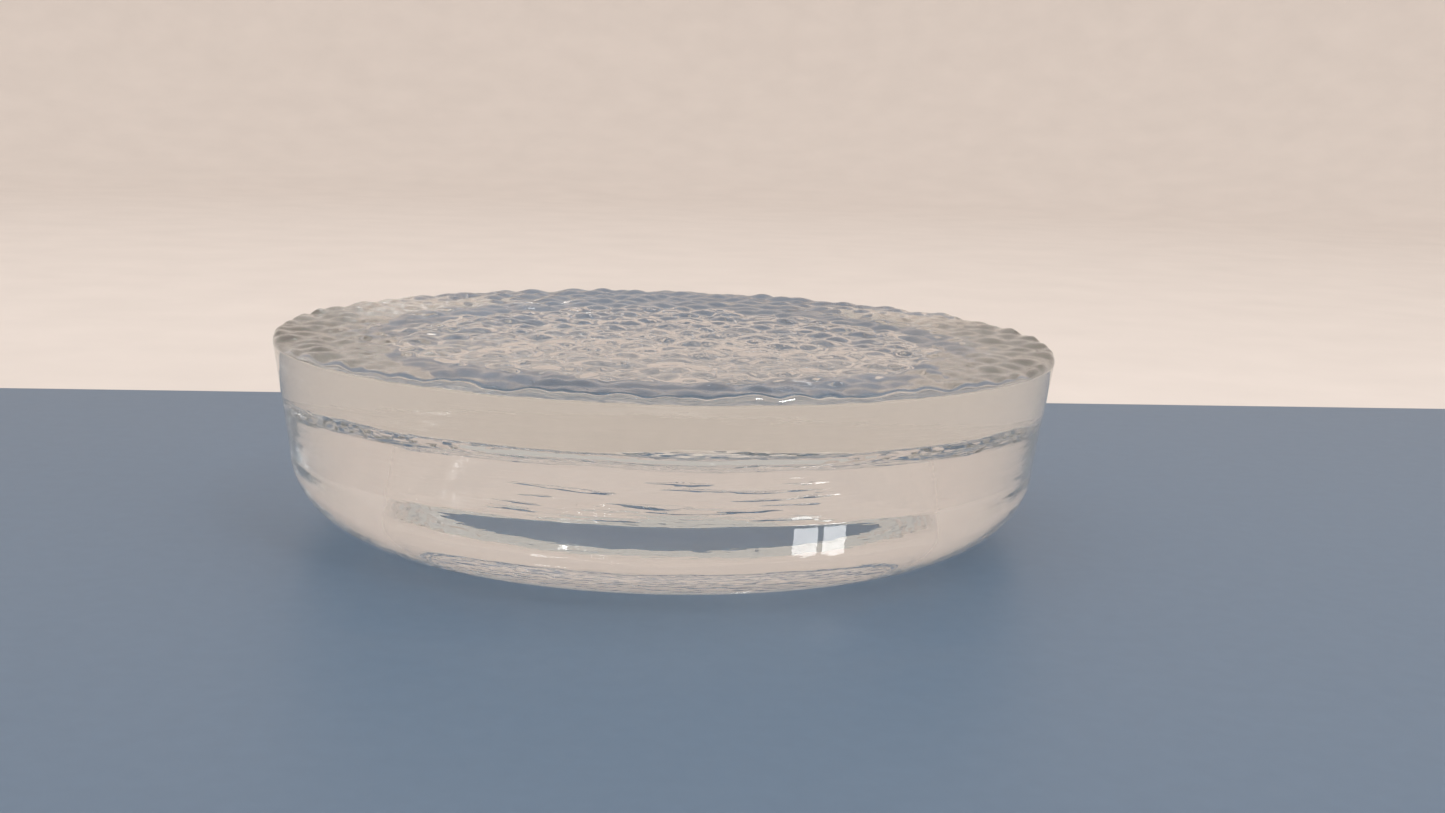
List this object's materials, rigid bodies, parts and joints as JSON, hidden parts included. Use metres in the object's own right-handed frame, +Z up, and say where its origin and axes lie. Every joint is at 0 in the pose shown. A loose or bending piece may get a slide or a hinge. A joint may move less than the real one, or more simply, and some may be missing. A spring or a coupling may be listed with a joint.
{
  "type": "glass dish",
  "caption": "Shallow round dish of thick clear pressed glass, standing mouth down, with a hammered closed face and a flat resting ring.",
  "frame": {"origin": "centre of the flat resting ring round the recess mouth, on the plane that the dish stands on", "axes": "+Z up along the dish's axis, from the open mouth to the closed hammered face; X and Y lie in the resting plane"},
  "size_m": [0.12, 0.12, 0.0295],
  "materials": {
    "clear_glass": "clear pressed soda-lime glass, fire-polished, hammered on the closed face"
  },
  "bodies": {
    "root": {"glass_dish": "clear_glass"}
  },
  "joints": []
}
